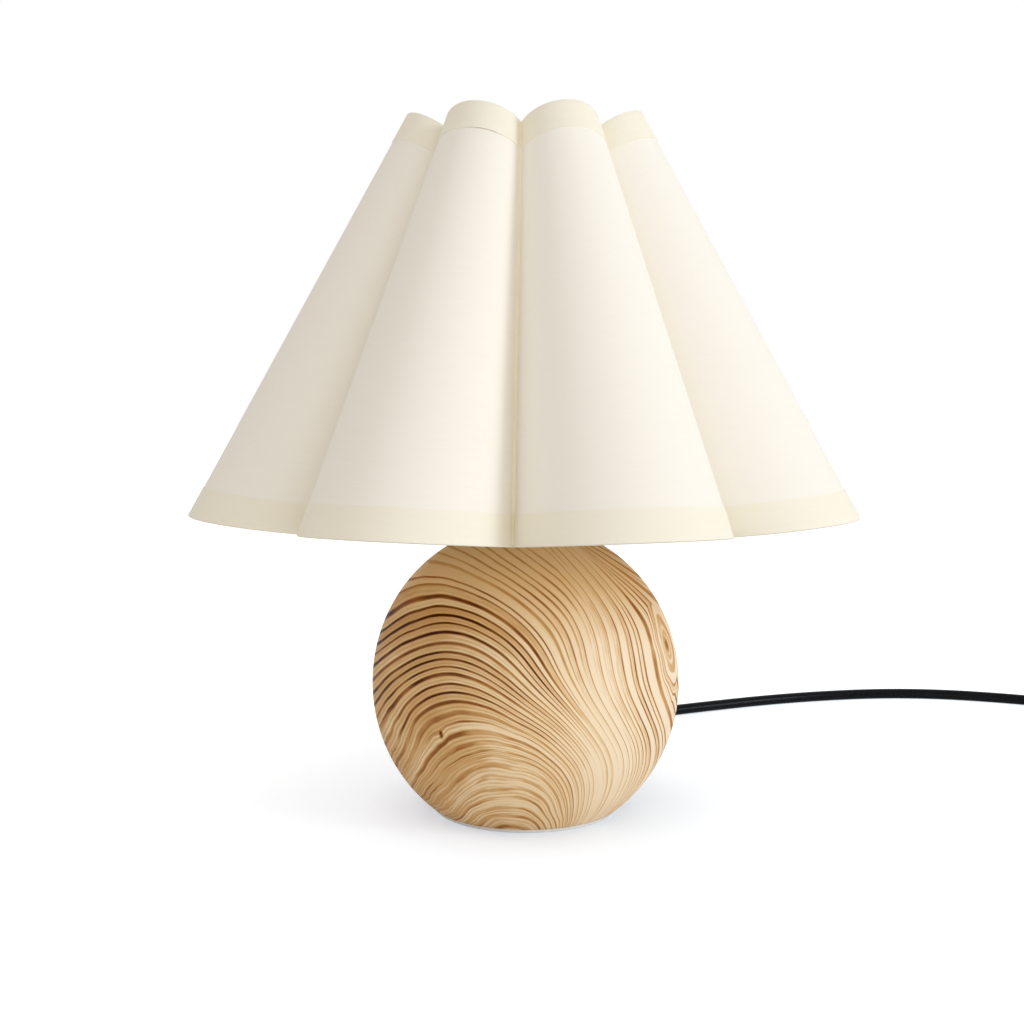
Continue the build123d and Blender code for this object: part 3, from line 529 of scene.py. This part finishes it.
# Each ring ends in a thin dark line between two pale edges. The lines are strongest on the left,
# weak and every second one faint on the right flank, strong again at the right edge, and broken
# at the lower left, where the figure is fine and wavy.
line_stops = (
    (0.0, 0.75), (0.05, 0.4), (0.1, 0.16), (0.2, 0.09), (0.42, 0.26), (0.58, 0.12), (0.68, 0.2),
    (0.76, 0.85), (0.83, 1.0), (0.95, 1.0), (1.0, 0.75),
)
late_wood = colour_ramp(tree, share, [(position, (dark, dark, dark)) for position, dark in line_stops])
fibre = tree.nodes.new("ShaderNodeCombineXYZ")
tree.links.new(product(tree, years, 2.6), fibre.inputs["X"])
tree.links.new(product(tree, right, 5.0), fibre.inputs["Y"])
tree.links.new(product(tree, up, 5.0), fibre.inputs["Z"])
breaks = spread(tree, noise_at(tree, fibre.outputs[0], 0.8, 2), 0.4, 0.6, 0.05, 0.72)
low_right = product(tree, spread(tree, up, -0.3, -0.7, 0, 1), spread(tree, right, 0.2, 0.6, 0, 1))
flank = product(tree, spread(tree, right, 0.2, 0.45, 0.0, 0.8), spread(tree, right, 0.6, 0.75, 1.0, 0.0))
faint = product(tree, maths(tree, "FLOORED_MODULO", ring, 2.0), flank)
strength = product(
    tree,
    spread(tree, chance(tree, ring), 0, 1, 0.7, 1.2),
    spread(tree, right, 0.1, 0.5, 1.05, 0.48),
    spread(tree, right, 0.55, 0.8, 1.0, 2.2),
    maths(tree, "MULTIPLY_ADD", low_left, maths(tree, "SUBTRACT", breaks, 1.0), 1.0),
    spread(tree, eye_knot, 0.06, 0.22, 0.3, 1.0),
    spread(tree, up, 0.55, 0.85, 1.0, 0.7),
    spread(tree, low_right, 0, 1, 1.0, 0.3),
    maths(tree, "SUBTRACT", 1.0, faint),
    spread(tree, noise_at(tree, spot, 5, 2), 0.3, 0.7, 0.75, 1.15),
)
lines = product(tree, maths(tree, "SUBTRACT", late_wood, 0.2), strength)

# The wood between the lines: darker at the left and lighter at the top, painted shade and painted light,
# with bands, thin rings and fibres, and a dark core in each knot. Each pair here is a figure and its share
# in the tone.
cloudy = maths(tree, "SUBTRACT", noise_at(tree, spot, 2.2, 2), 0.6)
fibrous = maths(tree, "SUBTRACT", noise_at(tree, fibre.outputs[0], 1.5, 4), 0.5)
broad_bands = maths(tree, "SINE", product(tree, years, math.pi))
thin_rings = maths(tree, "SINE", product(tree, years, 19.0))
# Painted light and shade: the base tone is darker towards the left, away from the key light, and paler
# towards the right.
body_tone = spread(tree, right, -0.6, 0.45, 0.22, -0.08)
for figure, weight in (
        # Painted light: the top is made paler, most at the left, where the shade above leaves it dim.
        (spread(tree, up, 0.35, 0.75, 0.0, -0.38), spread(tree, right, 0.0, 0.5, 1.0, 0.1)),
        (chance(tree, maths(tree, "ADD", ring, 0.5)), 0.16),
        (cloudy, 0.25),
        (broad_bands, spread(tree, right, 0.2, 0.5, 0.02, 0.10)),
        (thin_rings, spread(tree, low_left, 0, 1, 0.045, 0.07)),
        (fibrous, spread(tree, low_left, 0, 1, 0.3, 0.42)),
        (low_left, -0.06),
        (spread(tree, pin_knot, 0.008, 0.022, 0.8, 0), 1.0),
        (spread(tree, eye_knot, 0.01, 0.04, 0.4, 0), 1.0)):
    body_tone = maths(tree, "MULTIPLY_ADD", figure, weight, body_tone)
tone = maths(tree, "MULTIPLY_ADD", lines, 0.85, body_tone)
ring_colour = colour_ramp(tree, tone, (
    (0.0, (0.93, 0.735, 0.485)), (0.2, (0.72, 0.455, 0.205)), (0.45, (0.57, 0.305, 0.11)),
    (0.7, (0.33, 0.125, 0.032)), (1.0, (0.06, 0.012, 0.002)),
))


def tinted(tree, blend, share, colour, tint):
    """A colour mixed with a tint by a share."""
    mix = tree.nodes.new("ShaderNodeMix")
    mix.data_type = "RGBA"
    mix.blend_type = blend
    tree.links.new(share, mix.inputs[0])
    tree.links.new(colour, mix.inputs[6])
    mix.inputs[7].default_value = (*tint, 1)
    return mix.outputs[2]


# Towards the top the colour is multiplied redder, and on the right its pale parts are painted paler, a
# painted sheen of the key light. The lacquer is satin, a little rougher on the dark lines, which lie a touch
# deeper.
redder = tinted(tree, "MULTIPLY", spread(tree, up, 0.2, 0.65, 0.0, 1.0), ring_colour, (1.0, 0.83, 0.60))
# Painted sheen: pale parts on the right, below the top, are mixed towards a light tone.
painted_sheen_side = product(
    tree,
    spread(tree, right, 0.1, 0.65, 0.0, 0.55),
    spread(tree, up, 0.2, 0.6, 1.0, 0.1),
    spread(tree, tone, 0.0, 0.2, 1.0, 0.0),
)
painted_sheen_colour = tinted(tree, "MIX", painted_sheen_side, redder, (0.96, 0.83, 0.66))
tree.links.new(painted_sheen_colour, shader.inputs["Base Color"])
tree.links.new(spread(tree, tone, 0, 1, 0.40, 0.52), shader.inputs["Roughness"])
open_grain = tree.nodes.new("ShaderNodeBump")
open_grain.invert = True
open_grain.inputs["Strength"].default_value = 0.12
open_grain.inputs["Distance"].default_value = 0.0002
tree.links.new(tone, open_grain.inputs["Height"])
tree.links.new(open_grain.outputs["Normal"], shader.inputs["Normal"])
shader.inputs["Specular IOR Level"].default_value = 0.0
shader.inputs["Coat Weight"].default_value = 0.15
shader.inputs["Coat Roughness"].default_value = 0.22
ball.data.materials.clear()
ball.data.materials.append(wood)
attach(ball, "base")
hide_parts("ball_base")

# Pipe, washers and nuts: a threaded steel tube through the ball, clamped by a zinc nut below and
# a brass one on the seat. The holder's screws and contacts have the same two finishes.
dress(zinc, "lamp_pipe", "low_washer", "low_nut", "terminal_screws")
dress(brass, "top_washer", "top_nut", "centre_contact", "screw_shell")

# Lead inside the base: the end of the mains cord, which goes from the bush to the pipe, and its two
# wires in blue insulation, which go up to the holder's terminals.
dress(cord_sheath, "inner_lead")
wire_skin, tree, shader = blank_finish("wire_skin")
fine_grain(tree, shader, (0.10, 0.14, 0.36), (0.07, 0.10, 0.28), 900, 0.35, 0.1)
dress(wire_skin, "inner_wires")

# Lampholder: a white moulded cap and body round a pale insulating block, screwed to the pipe.
# The shade ring, of the same white plastic, screws on the body and clamps the shade's fitter.
holder_white, tree, shader = blank_finish("holder_white")
fine_grain(tree, shader, (0.82, 0.82, 0.80), (0.76, 0.76, 0.74), 1200, 0.3, 0.1)
dress(holder_white, "holder_cap", "holder_body", "shade_ring")
block_clay, tree, shader = blank_finish("block_clay")
fine_grain(tree, shader, (0.74, 0.72, 0.66), (0.66, 0.64, 0.58), 1500, 0.5, 0.3)
dress(block_clay, "terminal_block")

# Bulb: a small opal globe on a white housing, with a nickel screw cap and a dark insulator.
# It screws into the holder, and a white board inside the globe carries its lights.
opal, tree, shader = blank_finish("opal_globe")
fine_grain(tree, shader, (0.90, 0.89, 0.86), (0.885, 0.875, 0.845), 150, 0.22, 0.02)
dress(opal, "bulb_globe")
dress(holder_white, "bulb_housing", "led_board")
dress(nickel, "bulb_cap", "bulb_contact")
dark_glass, tree, shader = blank_finish("dark_glass")
fine_grain(tree, shader, (0.02, 0.02, 0.025), (0.012, 0.012, 0.015), 700, 0.12, 0.05)
dress(dark_glass, "bulb_insulator")

# Shade frame: white coated wire. A ring at the low and the high rim holds the folds, struts run
# behind the folds, and four arms carry the fitter plate.
coated_wire, tree, shader = blank_finish("coated_wire")
fine_grain(tree, shader, (0.84, 0.84, 0.82), (0.77, 0.77, 0.75), 1500, 0.35, 0.2)
dress(coated_wire, "bottom_ring", "top_ring", "struts", "fitter_plate", "fitter_arms")

# Shade sheet: cream cloth on a stiff backing, in eight petals. Each petal is straight from rim to
# rim and round across, and its long edges are drawn in to the wire frame. A rim is given by its
# crest's distance from the axis, the crest's rise, the fold's distance and the fold's height.
lobe_count = 8
first_fold = math.radians(-93)
half_lobe = math.pi / lobe_count
low_rim = (0.125, 0.0046, 0.0922, 0.1113)
high_rim = (0.0448, 0.0069, 0.0372, 0.2511)
shade_height = high_rim[3] - low_rim[3]
sheet_thickness = 0.0008
across_lobe = 64
steps_round = lobe_count * across_lobe
sheet_rows = 31


def rim_point(crest, crest_rise, fold, fold_z, share):
    """Point of a petal's rim, on an arc in a tilted plane: fold (-1), crest (0), next fold (1)."""
    middle = fold * math.cos(half_lobe)
    half_chord = fold * math.sin(half_lobe)
    rise = math.hypot(crest - middle, crest_rise)
    radius = (half_chord**2 + rise**2) / (2 * rise)
    sweep = math.atan2(half_chord, radius - rise)
    outward = 1 - radius / rise * (1 - math.cos(share * sweep))
    return Vector((middle + outward * (crest - middle), radius * math.sin(share * sweep),
                   fold_z + outward * crest_rise))


def petal_point(share, climb):
    """Point of a petal, between the low rim (0) and the high rim (1)."""
    return rim_point(*low_rim, share).lerp(rim_point(*high_rim, share), climb)


def shade_point(step, climb, proud=0.0):
    """Point of the shade: step round it, climb from the low to the high rim, and height off the cloth."""
    beside = 0.01
    fold_slope = 0.35
    lobe, inside = divmod(step, across_lobe)
    share = 2 * inside / across_lobe - 1
    here = petal_point(share, climb)
    along_rim = petal_point(share + beside, climb) - petal_point(share - beside, climb)
    ruling = rim_point(*high_rim, share) - rim_point(*low_rim, share)
    normal = along_rim.cross(ruling).normalized()
    if inside == 0:
        normal = Vector((math.cos(half_lobe), -math.sin(half_lobe), fold_slope)).normalized()
    here += normal * proud
    turn = first_fold + half_lobe * (2 * lobe + 1)
    return Vector((here.x * math.cos(turn) - here.y * math.sin(turn),
                   here.x * math.sin(turn) + here.y * math.cos(turn), here.z))


def strip(name, steps, rows):
    """A flat strip of faces with its UV map, to be wrapped: steps along it and rows of edges across it."""
    bpy.ops.object.select_all(action="DESELECT")
    bpy.ops.mesh.primitive_grid_add(x_subdivisions=steps, y_subdivisions=rows - 1, size=2)
    band = bpy.context.object
    band.name = name
    return band


def place_in_strip(vertex, steps, rows):
    """The step and the row of a vertex of a strip."""
    return round((vertex.co.x + 1) / 2 * steps), round((vertex.co.y + 1) / 2 * (rows - 1))


def close_and_thicken(piece, thickness, side):
    """Merge the seam of a wrapped strip and give it its thickness to one side."""
    bpy.ops.object.select_all(action="DESELECT")
    bpy.context.view_layer.objects.active = piece
    piece.select_set(True)
    bpy.ops.object.mode_set(mode="EDIT")
    bpy.ops.mesh.select_all(action="SELECT")
    bpy.ops.mesh.remove_doubles(threshold=0.000001)
    bpy.ops.object.mode_set(mode="OBJECT")
    wall = piece.modifiers.new("wall", "SOLIDIFY")
    wall.thickness = thickness
    wall.offset = side
    bpy.ops.object.modifier_apply(modifier="wall")
    bpy.ops.object.shade_smooth_by_angle(angle=math.radians(50))


shade = strip("shade_cloth", steps_round, sheet_rows)
for vertex in shade.data.vertices:
    step, row = place_in_strip(vertex, steps_round, sheet_rows)
    vertex.co = shade_point(step, row / (sheet_rows - 1))
close_and_thicken(shade, sheet_thickness, -1)


def cloth_weave(tree, shader, light, dark, threads_round, threads_up):
    """Fine plain weave on the UV map: uneven threads both ways, faint in colour and in relief."""
    place = tree.nodes.new("ShaderNodeTexCoord")
    flat = tree.nodes.new("ShaderNodeSeparateXYZ")
    tree.links.new(place.outputs["UV"], flat.inputs["Vector"])
    warp = maths(tree, "SINE", product(tree, flat.outputs["X"], threads_round * 2 * math.pi))
    weft = maths(tree, "SINE", product(tree, flat.outputs["Y"], threads_up * 2 * math.pi))
    weave = product(tree, warp, weft)
    slub = tree.nodes.new("ShaderNodeMapping")
    slub.inputs["Scale"].default_value = (threads_round / 40, threads_up / 2, 1)
    tree.links.new(place.outputs["UV"], slub.inputs["Vector"])
    uneven = noise_at(tree, slub.outputs["Vector"], 1.0, 3)
    thread = maths(tree, "MULTIPLY_ADD", weave, 0.08, uneven)
    tree.links.new(colour_ramp(tree, thread, ((0.2, dark), (0.8, light))), shader.inputs["Base Color"])
    tree.links.new(spread(tree, uneven, 0, 1, 0.72, 0.88), shader.inputs["Roughness"])
    relief = tree.nodes.new("ShaderNodeBump")
    relief.inputs["Strength"].default_value = 0.1
    relief.inputs["Distance"].default_value = 0.00003
    tree.links.new(weave, relief.inputs["Height"])
    tree.links.new(relief.outputs["Normal"], shader.inputs["Normal"])
    shader.inputs["Specular IOR Level"].default_value = 0.2


cloth, tree, shader = blank_finish("cream_cloth")
cloth_weave(tree, shader, (0.94, 0.90, 0.825), (0.925, 0.88, 0.80), 2400, 420)
shade.data.materials.clear()
shade.data.materials.append(cloth)
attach(shade, "shade")
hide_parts("shade_sheet")

# Hems: a tape of the same cloth folded over each rim and glued down inside and out. It is double
# there, so it looks a little deeper and yellower. One short run of the top tape has come loose.
hem_height = 0.0095
hem_steps = 5
tape_thickness = 0.00018
glue = 0.00002
loose_start = 7.52 * across_lobe
loose_end = 7.80 * across_lobe
loose_lift = 0.00035
slant = hem_height / shade_height
tuck = tape_thickness / shade_height
hem_cloth, tree, shader = blank_finish("hem_cloth")
cloth_weave(tree, shader, (0.925, 0.875, 0.75), (0.91, 0.855, 0.725), 2400, 60)
for name, node, rim_climb, inward in (("low_hem", "bottom_trim", 0, 1), ("high_hem", "top_trim", 1, -1)):
    outside = [(slant * (hem_steps - k) / hem_steps, glue) for k in range(hem_steps + 1)]
    round_edge = [(-tuck / 2, 0), (-tuck, -sheet_thickness / 2), (-tuck / 2, -sheet_thickness)]
    inside = [(slant * k / hem_steps, -sheet_thickness - glue) for k in range(hem_steps + 1)]
    profile = outside + round_edge + inside
    if inward == 1:
        profile.reverse()
    hem = strip(name, steps_round, len(profile))
    for vertex in hem.data.vertices:
        step, row = place_in_strip(vertex, steps_round, len(profile))
        below_rim, proud = profile[row]
        if name == "high_hem" and row == 0 and loose_start < step < loose_end:
            proud += loose_lift * math.sin(math.pi * (step - loose_start) / (loose_end - loose_start))
        vertex.co = shade_point(step, rim_climb + inward * below_rim, proud)
    close_and_thicken(hem, tape_thickness, 1)
    hem.data.materials.clear()
    hem.data.materials.append(hem_cloth)
    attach(hem, "shade")
    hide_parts(node)

# Fold seams: a narrow tape lies flush across each fold from rim to rim and covers the crease's shade.
# Its cloth, a little yellower than the hems', is a painted glow in the crease.
seam_half = 0.0005
seam_lap = 0.0003
seam_rows = 31
seam_margin = 0.002


def seam_place(climb):
    """Distance from the axis, and height, at which the gap between two petals is as wide as the seam."""
    share = 0.6
    gap = 1.0
    while gap > seam_half:
        share += 0.001
        found = petal_point(share, climb)
        from_axis = math.hypot(found.x, found.y)
        off_fold = half_lobe - math.atan2(found.y, found.x)
        gap = from_axis * math.sin(off_fold)
    return from_axis * math.cos(off_fold), found.z


seam_strips = []
for fold in range(lobe_count):
    turn = first_fold + 2 * half_lobe * fold
    seam = strip("fold_seams", 2, seam_rows)
    for vertex in seam.data.vertices:
        edge, row = place_in_strip(vertex, 2, seam_rows)
        from_axis, height = seam_place(seam_margin + (1 - 2 * seam_margin) * row / (seam_rows - 1))
        across = (edge - 1) * (seam_half + seam_lap)
        vertex.co = (from_axis * math.cos(turn) - across * math.sin(turn),
                     from_axis * math.sin(turn) + across * math.cos(turn), height)
    close_and_thicken(seam, tape_thickness, -1)
    seam_strips.append(seam)
bpy.ops.object.select_all(action="DESELECT")
for seam in seam_strips:
    seam.select_set(True)
seams = seam_strips[0]
bpy.context.view_layer.objects.active = seams
bpy.ops.object.join()
# Painted glow: the strip's yellower cloth stands for light coming through the crease.
crease_glow_cloth, tree, shader = blank_finish("crease_glow_cloth")
cloth_weave(tree, shader, (0.925, 0.87, 0.66), (0.91, 0.85, 0.63), 2400, 420)
seams.data.materials.clear()
seams.data.materials.append(crease_glow_cloth)
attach(seams, "shade")
